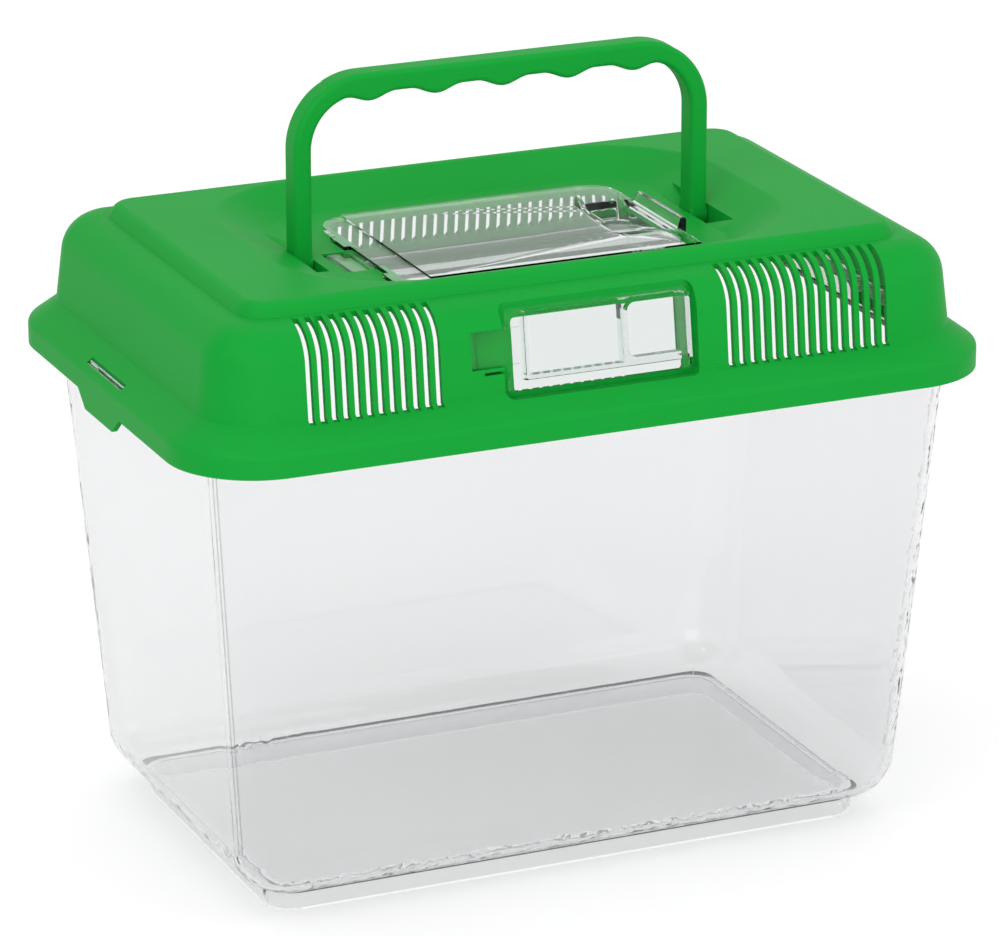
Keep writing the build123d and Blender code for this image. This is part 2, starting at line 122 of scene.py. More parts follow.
def mixed(
    tree: bpy.types.NodeTree,
    mask: bpy.types.NodeSocket,
    base: bpy.types.NodeSocket | Triple,
    over: Triple,
) -> bpy.types.NodeSocket:
    """Mixes a colour over another by a mask.

    Args:
        tree: Node tree that gets the node.
        mask: Share of the colour on top, 0 to 1.
        base: Socket or colour where the mask is 0.
        over: Colour where the mask is 1.

    Returns:
        The socket that puts out the mixed colour.
    """
    mix = new_node(tree, "ShaderNodeMix", data_type="RGBA")
    if isinstance(base, tuple):
        mix.inputs["A"].default_value = (*base, 1.0)
    else:
        tree.links.new(base, mix.inputs["A"])
    mix.inputs["B"].default_value = (*over, 1.0)
    tree.links.new(mask, mix.inputs["Factor"])
    return mix.outputs["Result"]


def bumped(
    tree: bpy.types.NodeTree, height: bpy.types.NodeSocket, strength: float, distance: float
) -> bpy.types.NodeSocket:
    """Turns a height into a bumped normal.

    Args:
        tree: Node tree that gets the node.
        height: The height, 0 to 1.
        strength: Share of the bump, 0 to 1.
        distance: How far a height of 1 stands out, in mm.

    Returns:
        The socket that puts out the normal.
    """
    bump = new_node(tree, "ShaderNodeBump")
    bump.inputs["Strength"].default_value = strength
    bump.inputs["Distance"].default_value = distance * MM
    tree.links.new(height, bump.inputs["Height"])
    return bump.outputs["Normal"]


def shader_group(
    name: str, inputs: dict[str, float], outputs: tuple[str, ...]
) -> tuple[bpy.types.NodeTree, bpy.types.Node, bpy.types.Node]:
    """Starts a shader node group with a vector input and named numbers.

    Args:
        name: Name of the group.
        inputs: Named number inputs with their defaults.
        outputs: Names of the number outputs.

    Returns:
        The tree, its input node and its output node.
    """
    tree = bpy.data.node_groups.new(name, "ShaderNodeTree")
    tree.interface.new_socket("Place", in_out="INPUT", socket_type="NodeSocketVector")
    for label, value in inputs.items():
        socket = tree.interface.new_socket(label, in_out="INPUT", socket_type="NodeSocketFloat")
        socket.default_value = value
    for label in outputs:
        tree.interface.new_socket(label, in_out="OUTPUT", socket_type="NodeSocketFloat")
    return tree, new_node(tree, "NodeGroupInput"), new_node(tree, "NodeGroupOutput")


def place_group(
    tree: bpy.types.NodeTree, group: bpy.types.NodeTree, place: bpy.types.NodeSocket
) -> bpy.types.Node:
    """Puts a shader group in a material.

    Args:
        tree: Node tree of the material.
        group: The group.
        place: Socket of the point on the object.

    Returns:
        The group's node.
    """
    node = new_node(tree, "ShaderNodeGroup", node_tree=group)
    tree.links.new(place, node.inputs["Place"])
    return node


def start_material(
    name: str,
) -> tuple[bpy.types.Material, bpy.types.Node, bpy.types.NodeSocket]:
    """Starts a node material.

    Args:
        name: Name of the material.

    Returns:
        The material, its shader and the socket of the point on the object.
    """
    material = bpy.data.materials.new(name)
    material.use_nodes = True
    tree = material.node_tree
    place = new_node(tree, "ShaderNodeTexCoord").outputs["Object"]
    return material, tree.nodes["Principled BSDF"], place


# ---------------------------------------------------------------- shared effects
@dataclass(frozen=True)
class MouldedSkin:
    """Skin of a moulding: fine grain, slow flow waves and a cloudy tint. Scales per metre."""

    grain_scale: float = 900.0
    grain_detail: float = 3.0
    grain: float = 0.2
    wave_scale: float = 14.0
    wave_detail: float = 1.5
    wave_roughness: float = 0.4
    wave: float = 1.0

    def group(self) -> bpy.types.NodeTree:
        """Builds the shader group.

        Returns:
            Group with outputs Height (bump), Cloud (0 to 1) and Grain (0 to 1).
        """
        tree, inp, out = shader_group(
            "moulded_skin",
            {
                "Grain Scale": self.grain_scale,
                "Wave Scale": self.wave_scale,
                "Grain": self.grain,
                "Wave": self.wave,
            },
            ("Height", "Cloud", "Grain"),
        )
        grain = new_node(tree, "ShaderNodeTexNoise")
        grain.inputs["Detail"].default_value = self.grain_detail
        wave = new_node(tree, "ShaderNodeTexNoise")
        wave.inputs["Detail"].default_value = self.wave_detail
        wave.inputs["Roughness"].default_value = self.wave_roughness
        for noise, scale in ((grain, "Grain Scale"), (wave, "Wave Scale")):
            tree.links.new(inp.outputs["Place"], noise.inputs["Vector"])
            tree.links.new(inp.outputs[scale], noise.inputs["Scale"])
        fine = maths(tree, "MULTIPLY", grain.outputs["Fac"], inp.outputs["Grain"])
        slow = maths(tree, "MULTIPLY", wave.outputs["Fac"], inp.outputs["Wave"])
        tree.links.new(maths(tree, "ADD", fine, slow), out.inputs["Height"])
        tree.links.new(wave.outputs["Fac"], out.inputs["Cloud"])
        tree.links.new(grain.outputs["Fac"], out.inputs["Grain"])
        return tree


@dataclass(frozen=True)
class HandlingMarks:
    """Hairline marks that handling leaves on a polished moulding. Scales per metre."""

    scale: float = 60.0
    width: float = 0.012
    share: float = 0.45
    turn: Triple = (0.4, 0.7, 0.5)
    stretch: Triple = (1.0, 7.0, 3.0)
    patch_scale: float = 22.0

    def group(self) -> bpy.types.NodeTree:
        """Builds the shader group.

        Returns:
            Group with the output Marks, 1 on a hairline and 0 elsewhere.
        """
        tree, inp, out = shader_group(
            "handling_marks",
            {"Scale": self.scale, "Width": self.width, "Share": self.share},
            ("Marks",),
        )
        drawn_out = new_node(tree, "ShaderNodeMapping")
        drawn_out.inputs["Rotation"].default_value = self.turn
        drawn_out.inputs["Scale"].default_value = self.stretch
        tree.links.new(inp.outputs["Place"], drawn_out.inputs["Vector"])
        cells = new_node(
            tree, "ShaderNodeTexVoronoi", feature="DISTANCE_TO_EDGE", voronoi_dimensions="3D"
        )
        tree.links.new(drawn_out.outputs["Vector"], cells.inputs["Vector"])
        tree.links.new(inp.outputs["Scale"], cells.inputs["Scale"])
        line = maths(tree, "LESS_THAN", cells.outputs["Distance"], inp.outputs["Width"])
        patch = new_node(tree, "ShaderNodeTexNoise")
        patch.inputs["Scale"].default_value = self.patch_scale
        tree.links.new(inp.outputs["Place"], patch.inputs["Vector"])
        here = maths(tree, "LESS_THAN", patch.outputs["Fac"], inp.outputs["Share"])
        tree.links.new(maths(tree, "MULTIPLY", line, here), out.inputs["Marks"])
        return tree


@dataclass(frozen=True)
class TrappedLight:
    """Painted shade: dark lines put into the base colour where the real tub's thick corners trap
    the light. Sizes in mm.

    One line runs round the upper edge of the foot ring, and one down each front corner.
    """

    ring_height: float = 6.95
    ring_half_width: float = 0.75
    ring_end_x: float = 113.5
    ring_front_y: float = 65.25
    ring_corner: float = 11.0
    ring_skin: float = 0.1
    upright_low: float = 24.0
    upright_high: float = 172.0
    upright_y: float = 64.9
    upright_lean: float = 0.0648
    upright_half_width: float = 0.35

    def group(self) -> bpy.types.NodeTree:
        """Builds the shader group.

        Returns:
            Group with the outputs Ring and Upright, 1 on a line and 0 elsewhere.
        """
        sizes = {
            "Height": self.ring_height,
            "Half Width": self.ring_half_width,
            "End X": self.ring_end_x,
            "Front Y": self.ring_front_y,
            "Corner": self.ring_corner,
            "Upright Low": self.upright_low,
            "Upright High": self.upright_high,
            "Upright Y": self.upright_y,
            "Upright Half Width": self.upright_half_width,
        }
        inputs = {label: size * MM for label, size in sizes.items()}
        inputs["Upright Lean"] = self.upright_lean
        tree, inp, out = shader_group("trapped_light", inputs, ("Ring", "Upright"))
        parts = new_node(tree, "ShaderNodeSeparateXYZ")
        tree.links.new(inp.outputs["Place"], parts.inputs[0])
        tree.links.new(self.ring(tree, inp.outputs, parts.outputs), out.inputs["Ring"])
        tree.links.new(self.upright(tree, inp.outputs, parts.outputs), out.inputs["Upright"])
        return tree

    def ring(
        self,
        tree: bpy.types.NodeTree,
        size: bpy.types.bpy_prop_collection,
        at: bpy.types.bpy_prop_collection,
    ) -> bpy.types.NodeSocket:
        """Masks the painted shade line round the foot ring.

        Args:
            tree: Tree of the group.
            size: Output sockets with the sizes.
            at: Output sockets with the point's X, Y and Z.

        Returns:
            Socket that is 1 on the line.
        """
        squares = []
        for axis, reach in (("X", "End X"), ("Y", "Front Y")):
            straight = maths(tree, "SUBTRACT", size[reach], size["Corner"])
            off = maths(tree, "ABSOLUTE", at[axis])
            past = maths(tree, "MAXIMUM", maths(tree, "SUBTRACT", off, straight), 0.0)
            squares.append(maths(tree, "MULTIPLY", past, past))
        round_off = maths(tree, "SQRT", maths(tree, "ADD", *squares))
        inner = maths(tree, "SUBTRACT", size["Corner"], self.ring_skin * MM)
        outer = maths(tree, "GREATER_THAN", round_off, inner)
        rise = maths(tree, "ABSOLUTE", maths(tree, "SUBTRACT", at["Z"], size["Height"]))
        near = maths(tree, "LESS_THAN", rise, size["Half Width"])
        return maths(tree, "MULTIPLY", near, outer)

    def upright(
        self,
        tree: bpy.types.NodeTree,
        size: bpy.types.bpy_prop_collection,
        at: bpy.types.bpy_prop_collection,
    ) -> bpy.types.NodeSocket:
        """Masks the painted shade lines down the two front corners, on the end walls.

        Args:
            tree: Tree of the group.
            size: Output sockets with the sizes.
            at: Output sockets with the point's X, Y and Z.

        Returns:
            Socket that is 1 on the lines.
        """
        up = maths(tree, "SUBTRACT", at["Z"], size["Upright Low"])
        lean = maths(tree, "MULTIPLY", up, size["Upright Lean"])
        middle = maths(tree, "ADD", lean, size["Upright Y"])
        aside = maths(tree, "SUBTRACT", maths(tree, "ABSOLUTE", at["Y"]), middle)
        mask = maths(
            tree, "LESS_THAN", maths(tree, "ABSOLUTE", aside), size["Upright Half Width"]
        )
        for limit in (
            maths(tree, "LESS_THAN", at["Z"], size["Upright High"]),
            maths(tree, "GREATER_THAN", up, 0.0),
            maths(tree, "LESS_THAN", at["Y"], 0.0),
            maths(tree, "GREATER_THAN", maths(tree, "ABSOLUTE", at["X"]), size["End X"]),
        ):
            mask = maths(tree, "MULTIPLY", mask, limit)
        return mask


# ---------------------------------------------------------------- finishes
@dataclass(frozen=True)
class SatinGreen:
    """Dyed polypropylene of the lid and the handle. Depths in mm."""

    name: str = "satin_green"
    colour: Triple = (0.003, 0.335, 0.032)
    pale: Triple = (0.006, 0.355, 0.040)
    roughness: tuple[float, float] = (0.44, 0.54)
    ior: float = 1.49
    shine: float = 0.10
    bump: float = 0.10
    bump_depth: float = 0.2
    scatter: float = 0.05
    scatter_reach: Triple = (0.4, 1.0, 0.4)
    scatter_depth: float = 1.5

    def build(self, skin: bpy.types.NodeTree) -> bpy.types.Material:
        """Builds the material.

        Args:
            skin: The moulded skin group.

        Returns:
            The finished material.
        """
        material, bsdf, place = start_material(self.name)
        tree = material.node_tree
        surface = place_group(tree, skin, place)
        tint = mixed(tree, surface.outputs["Cloud"], self.colour, self.pale)
        tree.links.new(tint, bsdf.inputs["Base Color"])
        rough = to_range(tree, surface.outputs["Grain"], *self.roughness)
        tree.links.new(rough, bsdf.inputs["Roughness"])
        normal = bumped(tree, surface.outputs["Height"], self.bump, self.bump_depth)
        tree.links.new(normal, bsdf.inputs["Normal"])
        bsdf.inputs["IOR"].default_value = self.ior
        bsdf.inputs["Specular IOR Level"].default_value = self.shine
        bsdf.inputs["Subsurface Weight"].default_value = self.scatter
        bsdf.inputs["Subsurface Radius"].default_value = self.scatter_reach
        bsdf.inputs["Subsurface Scale"].default_value = self.scatter_depth * MM
        return material


@dataclass(frozen=True)
class ClearPolish:
    """Polished clear polystyrene of the tub, with painted shade lines at its foot ring and front
    corners. Depths in mm.
    """

    name: str = "clear_polish"
    tint: Triple = (0.933, 0.932, 0.936)
    cloud: Triple = (0.921, 0.919, 0.925)
    roughness: tuple[float, float] = (0.0, 0.02)
    marks: float = 0.10
    ior: float = 1.49
    grain: float = 0.0
    bump: float = 0.006
    bump_depth: float = 0.5
    # painted shade: colours of the dark lines that stand in for light trapped in the thick corners
    ring_painted_shade: Triple = (0.012, 0.013, 0.014)
    upright_painted_shade: Triple = (0.38, 0.38, 0.395)
    shadow: float = 0.99
    depth_colour: Triple = (0.57, 0.60, 0.61)
    depth_density: float = 50.0

    def build(
        self, skin: bpy.types.NodeTree, scratches: bpy.types.NodeTree, trapped: bpy.types.NodeTree
    ) -> bpy.types.Material:
        """Builds the material.

        Args:
            skin: The moulded skin group.
            scratches: The handling marks group.
            trapped: The trapped light group, which masks the painted shade lines.

        Returns:
            The finished material.
        """
        material, bsdf, place = start_material(self.name)
        tree = material.node_tree
        surface = place_group(tree, skin, place)
        surface.inputs["Grain"].default_value = self.grain
        lines = place_group(tree, trapped, place)
        tint = mixed(tree, surface.outputs["Cloud"], self.tint, self.cloud)
        # painted shade: near-black line round the foot ring, standing in for light trapped in the
        # thick corner
        tint = mixed(tree, lines.outputs["Ring"], tint, self.ring_painted_shade)
        # painted shade: grey lines down the two front corners only, standing in for light trapped
        # there
        tint = mixed(tree, lines.outputs["Upright"], tint, self.upright_painted_shade)
        tree.links.new(tint, bsdf.inputs["Base Color"])
        hairlines = place_group(tree, scratches, place).outputs["Marks"]
        soft = to_range(tree, surface.outputs["Cloud"], *self.roughness)
        rough = maths(tree, "ADD", soft, maths(tree, "MULTIPLY", hairlines, self.marks))
        tree.links.new(rough, bsdf.inputs["Roughness"])
        normal = bumped(tree, surface.outputs["Height"], self.bump, self.bump_depth)
        tree.links.new(normal, bsdf.inputs["Normal"])
        bsdf.inputs["IOR"].default_value = self.ior
        bsdf.inputs["Transmission Weight"].default_value = 1.0
        self.pass_light(tree, bsdf)
        return material

    def pass_light(self, tree: bpy.types.NodeTree, bsdf: bpy.types.Node) -> None:
        """Lets lamp light pass with a thin shadow, and tints light by the depth it crosses.

        Args:
            tree: Node tree of the material.
            bsdf: Its shader.
        """
        output = tree.nodes["Material Output"]
        see_through = new_node(tree, "ShaderNodeBsdfTransparent")
        see_through.inputs["Color"].default_value = (*(self.shadow,) * 3, 1.0)
        rays = new_node(tree, "ShaderNodeLightPath")
        mix = new_node(tree, "ShaderNodeMixShader")
        tree.links.new(rays.outputs["Is Shadow Ray"], mix.inputs[0])
        tree.links.new(bsdf.outputs[0], mix.inputs[1])
        tree.links.new(see_through.outputs[0], mix.inputs[2])
        tree.links.new(mix.outputs[0], output.inputs["Surface"])
        depth = new_node(tree, "ShaderNodeVolumeAbsorption")
        depth.inputs["Color"].default_value = (*self.depth_colour, 1.0)
        depth.inputs["Density"].default_value = self.depth_density
        tree.links.new(depth.outputs[0], output.inputs["Volume"])


@dataclass(frozen=True)
class FlapPolish(ClearPolish):
    """Clear plastic of the thin flaps, greener and with less glare, so that the lid shows."""

    name: str = "clear_flap"
    tint: Triple = (0.88, 0.92, 0.90)
    cloud: Triple = (0.86, 0.905, 0.885)
    ior: float = 1.24
    shadow: float = 0.88


# ---------------------------------------------------------------- pieces
@dataclass
class Moulding:
    """One plastic moulding of the keeper, dressed from its solid.

    The solid's loose triangles are merged and smoothed in a copy, which then stands for it.
    """

    node: str
    body: str
    slot: Slot
    sharp_angle: float = 38.0
    weld: float = 0.002

    def build(self, material: bpy.types.Material) -> bpy.types.Object:
        """Builds the dressed piece and sets it in the place of the solid.

        Args:
            material: Finish of the moulding.

        Returns:
            The new object.
        """
        mesh = self.shape(material)
        mesh.name = f"{self.node}_moulding"
        mesh.shade_smooth()
        mesh.set_sharp_from_angle(angle=math.radians(self.sharp_angle))
        piece = bpy.data.objects.new(mesh.name, mesh)
        bpy.context.scene.collection.objects.link(piece)
        self.finish_edges(piece)
        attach(piece, self.body)
        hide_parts(self.node)
        log.info("%s: %d faces", piece.name, len(mesh.polygons))
        return piece

    def shape(self, material: bpy.types.Material) -> bpy.types.Mesh:
        """Copies the solid's triangles, merged where they meet.

        Args:
            material: Finish of the moulding.

        Returns:
            A closed mesh.
        """
        work = bmesh.new()
        work.from_mesh(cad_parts[self.node].data)
        bmesh.ops.remove_doubles(work, verts=work.verts, dist=self.weld * MM)
        corners = [vertex.co.copy() for vertex in work.verts]
        work.verts.index_update()
        faces = [[vertex.index for vertex in face.verts] for face in work.faces]
        work.free()
        mesh = bpy.data.meshes.new(self.node)
        mesh.from_pydata(corners, [], faces)
        mesh.validate()
        mesh.materials.append(material)
        return mesh

    def finish_edges(self, piece: bpy.types.Object) -> None:
        """Lets the large faces lead the shading round the fillets.

        Args:
            piece: The dressed piece.
        """
        lead = piece.modifiers.new("face_lead", "WEIGHTED_NORMAL")
        lead.mode = "FACE_AREA"
        lead.keep_sharp = True


@dataclass
class Tub(Moulding):
    """The clear tapered tub with its foot ring and latch lugs."""

    node: str = "tank"
    body: str = "tank"
    slot: Slot = Slot.CLEAR


@dataclass
class VentedLid(Moulding):
    """The green lid with its dish, vent slots, front recess and pull tabs."""

    node: str = "lid"
    body: str = "lid"
    slot: Slot = Slot.GREEN


@dataclass
class TopFlap(Moulding):
    """The clear flap in the dish, with its finger cup and lip."""

    node: str = "top_door"
    body: str = "top_flap"
    slot: Slot = Slot.CLEAR


@dataclass
class FrontFlap(Moulding):
    """The clear flap in the front recess, with its leaf and lip."""

    node: str = "front_door"
    body: str = "front_flap"
    slot: Slot = Slot.CLEAR


@dataclass
class BailHandle(Moulding):
    """The green bail: a bar swept from pivot to pivot, waved under the fingers. Sizes in mm."""

    node: str = "handle"
    body: str = "handle"
    slot: Slot = Slot.GREEN
    half_span: float = 75.2
    pivot_height: float = 212.3
    top: float = 277.7
    thickness: float = 6.6
    depth: float = 10.0
    corner: float = 22.7
    edge: float = 1.8
    bar: float = 7.4
    pitch: float = 25.0
    bump: float = 2.7
    bump_half_width: float = 10.0
    bump_count: int = 5
    pin_radius: float = 1.8
    pin_length: float = 4.5
    step: float = 0.8
    arc_parts: int = 32
    edge_parts: int = 5
    boss_parts: int = 64
    boss_share: float = 0.98  # of the leg's thickness, so that the flat faces don't coincide

    @property
    def bar_middle(self) -> float:
        """Height of the middle of the bar."""
        return self.top - self.thickness / 2

    def sizes(self) -> dict[str, float]:
        """Names the sizes that the node tree takes, in mm."""
        return {
            "Corner": self.corner,
            "Thickness": self.thickness,
            "Depth": self.depth,
            "Edge": self.edge,
            "Step": self.step,
            "Bar": self.bar,
            "Bar Middle": self.bar_middle,
            "Bend Start": self.half_span - self.corner,
            "Bend End": self.half_span - self.thickness / 2,
            "Pitch": self.pitch,
            "Bump": self.bump,
            "Bump Half Width": self.bump_half_width,
            "Grip Half": self.pitch * self.bump_count / 2,
            "Half Span": self.half_span,
            "Pivot Height": self.pivot_height,
            "Pin Radius": self.pin_radius,
            "Pin Length": self.pin_length,
        }

    def shape(self, material: bpy.types.Material) -> bpy.types.Mesh:
        """Sweeps the bail with Geometry Nodes and makes the result a plain mesh.

        Args:
            material: Finish of the bail.

        Returns:
            A closed mesh.
        """
        corners = [
            (side * self.half_span * MM, 0.0, height * MM)
            for side, height in (
                (-1, self.pivot_height),
                (-1, self.bar_middle),
                (1, self.bar_middle),
                (1, self.pivot_height),
            )
        ]
        path = bpy.data.meshes.new("bail_path")
        path.from_pydata(corners, [(0, 1), (1, 2), (2, 3)], [])
        holder = bpy.data.objects.new("bail_path", path)
        bpy.context.scene.collection.objects.link(holder)
        modifier = holder.modifiers.new("bail", "NODES")
        modifier.node_group = self.tree()
        sizes = self.sizes()
        for socket in modifier.node_group.interface.items_tree:
            if socket.name in sizes:
                modifier[socket.identifier] = sizes[socket.name] * MM
            elif socket.name == "Finish":
                modifier[socket.identifier] = material
        graph = bpy.context.evaluated_depsgraph_get()
        mesh = bpy.data.meshes.new_from_object(holder.evaluated_get(graph))
        holder.modifiers.clear()
        bpy.data.objects.remove(holder)
        return mesh

    def tree(self) -> bpy.types.NodeTree:
        """Builds the node tree of the bail.

        Returns:
            Tree that takes the path and the sizes, and puts out the closed bail.
        """
        tree = bpy.data.node_groups.new("bail_handle", "GeometryNodeTree")
        face = tree.interface
        face.new_socket("Path", in_out="INPUT", socket_type="NodeSocketGeometry")
        for label in self.sizes():
            face.new_socket(label, in_out="INPUT", socket_type="NodeSocketFloat")
        face.new_socket("Finish", in_out="INPUT", socket_type="NodeSocketMaterial")
        face.new_socket("Bail", in_out="OUTPUT", socket_type="NodeSocketGeometry")
        size = new_node(tree, "NodeGroupInput").outputs
        waved = self.wave_grip(tree, size, self.sweep(tree, size))
        union = new_node(tree, "GeometryNodeMeshBoolean", operation="UNION", solver="EXACT")
        tree.links.new(waved, union.inputs["Mesh 2"])
        for side in (-1, 1):
            for part in self.pivot(tree, size, side):
                tree.links.new(part, union.inputs["Mesh 2"])
        real = new_node(tree, "GeometryNodeRealizeInstances")
        tree.links.new(union.outputs["Mesh"], real.inputs[0])
        finish = new_node(tree, "GeometryNodeSetMaterial")
        tree.links.new(real.outputs[0], finish.inputs["Geometry"])
        tree.links.new(size["Finish"], finish.inputs["Material"])
        out = new_node(tree, "NodeGroupOutput")
        tree.links.new(finish.outputs[0], out.inputs["Bail"])
        return tree

    def sweep(
        self, tree: bpy.types.NodeTree, size: bpy.types.bpy_prop_collection
    ) -> bpy.types.NodeSocket:
        """Sweeps the rounded section along the bent path.

        Args:
            tree: Tree of the bail.
            size: Output sockets with the path and the sizes.

        Returns:
            Socket of the swept mesh.
        """
        link = tree.links.new
        line = new_node(tree, "GeometryNodeMeshToCurve")
        link(size["Path"], line.inputs[0])
        bent = new_node(tree, "GeometryNodeFilletCurve", mode="POLY")
        bent.inputs["Count"].default_value = self.arc_parts
        link(line.outputs[0], bent.inputs["Curve"])
        link(size["Corner"], bent.inputs["Radius"])
        even = new_node(tree, "GeometryNodeResampleCurve", mode="LENGTH")
        link(bent.outputs[0], even.inputs["Curve"])
        link(size["Step"], even.inputs["Length"])
        plain = new_node(tree, "GeometryNodeCurvePrimitiveQuadrilateral")
        link(size["Thickness"], plain.inputs["Width"])
        link(size["Depth"], plain.inputs["Height"])
        section = new_node(tree, "GeometryNodeFilletCurve", mode="POLY")
        section.inputs["Count"].default_value = self.edge_parts
        link(plain.outputs[0], section.inputs["Curve"])
        link(size["Edge"], section.inputs["Radius"])
        swept = new_node(tree, "GeometryNodeCurveToMesh")
        swept.inputs["Fill Caps"].default_value = True
        link(even.outputs[0], swept.inputs["Curve"])
        link(section.outputs[0], swept.inputs["Profile Curve"])
        return swept.outputs[0]

    def wave_grip(
        self,
        tree: bpy.types.NodeTree,
        size: bpy.types.bpy_prop_collection,
        swept: bpy.types.NodeSocket,
    ) -> bpy.types.NodeSocket:
        """Lowers the underside of the bar into evenly spaced finger bumps.

        Args:
            tree: Tree of the bail.
            size: Output sockets with the sizes.
            swept: Socket of the swept mesh.

        Returns:
            Socket of the waved mesh.
        """
        place = new_node(tree, "GeometryNodeInputPosition")
        parts = new_node(tree, "ShaderNodeSeparateXYZ")
        tree.links.new(place.outputs[0], parts.inputs[0])
        across, height = parts.outputs["X"], parts.outputs["Z"]
        away = maths(tree, "ABSOLUTE", across)
        ramp = new_node(tree, "ShaderNodeMapRange", interpolation_type="SMOOTHSTEP")
        tree.links.new(away, ramp.inputs["Value"])
        tree.links.new(size["Bend Start"], ramp.inputs["From Min"])
        tree.links.new(size["Bend End"], ramp.inputs["From Max"])
        ramp.inputs["To Min"].default_value = 1.0
        ramp.inputs["To Max"].default_value = 0.0
        extra = maths(tree, "SUBTRACT", size["Bar"], size["Thickness"])
        thicker = maths(tree, "MULTIPLY", extra, ramp.outputs["Result"])
        off_centre = maths(tree, "PINGPONG", across, maths(tree, "DIVIDE", size["Pitch"], 2.0))
        share = maths(tree, "DIVIDE", off_centre, size["Bump Half Width"])
        turn = maths(tree, "MULTIPLY", maths(tree, "MINIMUM", share, 1.0), math.pi)
        wave = maths(tree, "ADD", maths(tree, "COSINE", turn), 1.0)
        bump = maths(tree, "MULTIPLY", maths(tree, "DIVIDE", wave, 2.0), size["Bump"])
        gripped = maths(tree, "LESS_THAN", away, size["Grip Half"])
        drop = maths(tree, "ADD", thicker, maths(tree, "MULTIPLY", bump, gripped))
        below = maths(tree, "LESS_THAN", height, size["Bar Middle"])
        shift = new_node(tree, "ShaderNodeCombineXYZ")
        down = maths(tree, "MULTIPLY", maths(tree, "MULTIPLY", drop, below), -1.0)
        tree.links.new(down, shift.inputs["Z"])
        moved = new_node(tree, "GeometryNodeSetPosition")
        tree.links.new(swept, moved.inputs["Geometry"])
        tree.links.new(shift.outputs[0], moved.inputs["Offset"])
        return moved.outputs[0]

    def pivot(
        self, tree: bpy.types.NodeTree, size: bpy.types.bpy_prop_collection, side: int
    ) -> tuple[bpy.types.NodeSocket, bpy.types.NodeSocket]:
        """Makes the round end of one leg and its stub pin.

        Args:
            tree: Tree of the bail.
            size: Output sockets with the sizes.
            side: -1 for the left leg, 1 for the right leg.

        Returns:
            Sockets of the two closed meshes.
        """
        boss_radius = maths(tree, "DIVIDE", size["Depth"], 2.0)
        boss_width = maths(tree, "MULTIPLY", size["Thickness"], self.boss_share)
        outer_face = maths(tree, "DIVIDE", size["Thickness"], 2.0)
        reach = maths(tree, "ADD", size["Half Span"], size["Pin Length"])
        pin_end = maths(tree, "ADD", reach, outer_face)
        pin_width = maths(tree, "SUBTRACT", pin_end, size["Half Span"])
        pin_middle = maths(tree, "SUBTRACT", pin_end, maths(tree, "DIVIDE", pin_width, 2.0))
        ends = []
        for radius, width, middle in (
            (boss_radius, boss_width, size["Half Span"]),
            (size["Pin Radius"], pin_width, pin_middle),
        ):
            drum = new_node(tree, "GeometryNodeMeshCylinder")
            drum.inputs["Vertices"].default_value = self.boss_parts
            tree.links.new(radius, drum.inputs["Radius"])
            tree.links.new(width, drum.inputs["Depth"])
            place = new_node(tree, "ShaderNodeCombineXYZ")
            tree.links.new(maths(tree, "MULTIPLY", middle, float(side)), place.inputs["X"])
            tree.links.new(size["Pivot Height"], place.inputs["Z"])
            turned = new_node(tree, "GeometryNodeTransform")
            turned.inputs["Rotation"].default_value = (0.0, math.pi / 2, 0.0)
            tree.links.new(drum.outputs["Mesh"], turned.inputs["Geometry"])
            tree.links.new(place.outputs[0], turned.inputs["Translation"])
            ends.append(turned.outputs[0])
        return tuple(ends)


# ---------------------------------------------------------------- studio
@dataclass(frozen=True)
class SoftLamp:
    """One soft square lamp: its place and side in metres, and its power in watts."""

    name: str
    place: Triple
    width: float
    power: float

    def build(self, target: Vector) -> None:
        """Adds the lamp and turns its face to the keeper.

        Args:
            target: The point that it shines at.
        """
        light = bpy.data.lights.new(self.name, "AREA")
        light.size = self.width
        light.energy = self.power
        holder = bpy.data.objects.new(self.name, light)
        holder.location = self.place
        holder.rotation_mode = "QUATERNION"
        aim = target - Vector(self.place)
        holder.rotation_quaternion = aim.to_track_quat("-Z", "Y")
        bpy.context.scene.collection.objects.link(holder)


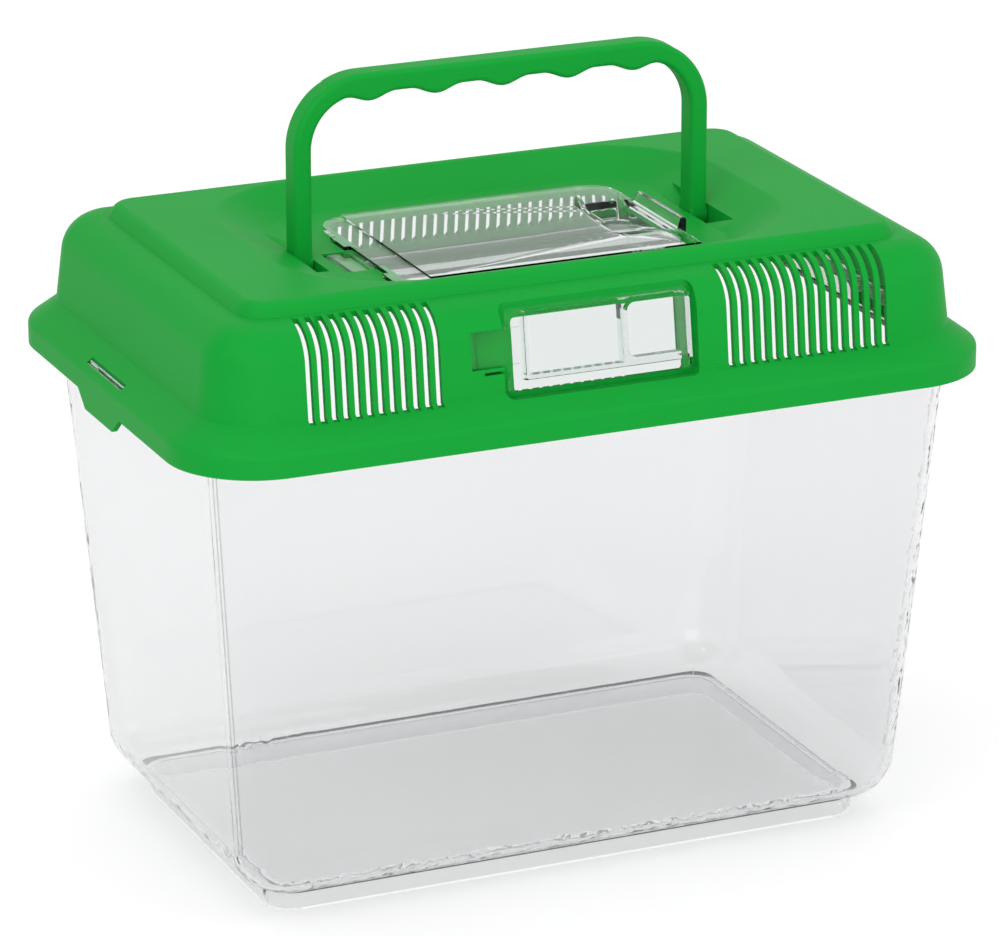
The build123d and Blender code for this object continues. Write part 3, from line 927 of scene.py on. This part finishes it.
@dataclass
class Studio:
    """Pale floor, soft lamps and the camera of the photograph. Metres and degrees."""

    azimuth: float = -23.71
    elevation: float = 19.07
    distance: float = 1.99362
    target: Triple = (0.00036, 0.00003, 0.12617)
    focal_px: float = 5614.46
    sensor: float = 36.0  # mm
    picture_width: int = 1000
    nearest: float = 0.01
    farthest: float = 50.0
    floor_size: float = 8.0
    floor_white: float = 0.86
    floor_roughness: float = 0.9
    floor_glow: float = 0.31
    floor_far_glow: float = 0.75
    floor_even: float = 0.9
    world_level: float = 0.60
    lamps: tuple[SoftLamp, ...] = (
        SoftLamp("key_left", (-1.3, -0.9, 1.5), 1.1, 9.0),
        SoftLamp("fill_right", (1.5, -1.2, 1.0), 1.3, 6.5),
        SoftLamp("front", (-0.5, -2.1, 0.5), 1.5, 13.0),
        SoftLamp("top", (0.0, 0.3, 1.9), 1.6, 6.0),
    )

    def build(self) -> None:
        """Builds floor, world, lamps and camera, and sets the view transform."""
        bpy.context.scene.view_settings.view_transform = "Standard"
        self.floor()
        self.world()
        for lamp in self.lamps:
            lamp.build(Vector(self.target))
        self.camera()

    @staticmethod
    def white_rays(tree: bpy.types.NodeTree) -> bpy.types.NodeSocket:
        """Adds up the rays that see the white studio.

        Args:
            tree: Node tree of the floor or the world.

        Returns:
            Socket that is 1 for those rays.
        """
        path = new_node(tree, "ShaderNodeLightPath")
        total = path.outputs[Rays.CAMERA.value]
        for ray in (Rays.GLOSSY, Rays.THROUGH):
            total = maths(tree, "MAXIMUM", total, path.outputs[ray.value])
        return total

    def floor(self) -> None:
        """Builds the floor, white to the camera and with the object's soft shadow."""
        half = self.floor_size / 2
        mesh = bpy.data.meshes.new("floor")
        mesh.from_pydata(
            [(-half, -half, 0), (half, -half, 0), (half, half, 0), (-half, half, 0)],
            [],
            [(0, 1, 2, 3)],
        )
        plane = bpy.data.objects.new("floor", mesh)
        bpy.context.scene.collection.objects.link(plane)
        material, bsdf, place = start_material("pale_floor")
        tree = material.node_tree
        bsdf.inputs["Base Color"].default_value = (*(self.floor_white,) * 3, 1.0)
        bsdf.inputs["Roughness"].default_value = self.floor_roughness
        bsdf.inputs["Specular IOR Level"].default_value = 0.0
        bsdf.inputs["Emission Color"].default_value = (1.0, 1.0, 1.0, 1.0)
        away = new_node(tree, "ShaderNodeVectorMath", operation="LENGTH")
        tree.links.new(place, away.inputs[0])
        level = new_node(tree, "ShaderNodeMapRange")
        tree.links.new(away.outputs["Value"], level.inputs["Value"])
        for label, value in (
            ("From Min", self.floor_even),
            ("From Max", half),
            ("To Min", self.floor_glow),
            ("To Max", self.floor_far_glow),
        ):
            level.inputs[label].default_value = value
        glow = maths(tree, "MULTIPLY", self.white_rays(tree), level.outputs["Result"])
        tree.links.new(glow, bsdf.inputs["Emission Strength"])
        mesh.materials.append(material)

    def world(self) -> None:
        """Builds a world that is white behind the object and dimmer as a light."""
        world = bpy.data.worlds.new("studio")
        bpy.context.scene.world = world
        world.use_nodes = True
        tree = world.node_tree
        background = tree.nodes["Background"]
        background.inputs["Color"].default_value = (1.0, 1.0, 1.0, 1.0)
        level = to_range(tree, self.white_rays(tree), self.world_level, 1.0)
        tree.links.new(level, background.inputs["Strength"])

    def camera(self) -> None:
        """Sets the camera at the photograph's angle, distance and focal length."""
        turn, rise = math.radians(self.azimuth), math.radians(self.elevation)
        back = Vector(
            (
                math.sin(turn) * math.cos(rise),
                -math.cos(turn) * math.cos(rise),
                math.sin(rise),
            )
        )
        data = bpy.data.cameras.new("camera")
        data.sensor_width = self.sensor
        data.lens = self.focal_px * self.sensor / self.picture_width
        data.clip_start, data.clip_end = self.nearest, self.farthest
        holder = bpy.data.objects.new("camera", data)
        holder.location = Vector(self.target) + back * self.distance
        holder.rotation_mode = "QUATERNION"
        holder.rotation_quaternion = (-back).to_track_quat("-Z", "Y")
        bpy.context.scene.collection.objects.link(holder)
        bpy.context.scene.camera = holder


def main() -> None:
    """Builds the studio and every piece."""
    logging.basicConfig(level=logging.INFO, format="%(name)s %(message)s")
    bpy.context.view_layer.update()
    Studio().build()
    skin, scratches, trapped = (
        effect.group() for effect in (MouldedSkin(), HandlingMarks(), TrappedLight())
    )
    green = SatinGreen().build(skin)
    clear = ClearPolish().build(skin, scratches, trapped)
    flap = FlapPolish().build(skin, scratches, trapped)
    for piece, finish in (
        (Tub(), clear),
        (VentedLid(), green),
        (BailHandle(), green),
        (TopFlap(), flap),
        (FrontFlap(), flap),
    ):
        piece.build(finish)


if __name__ == "__main__":
    main()
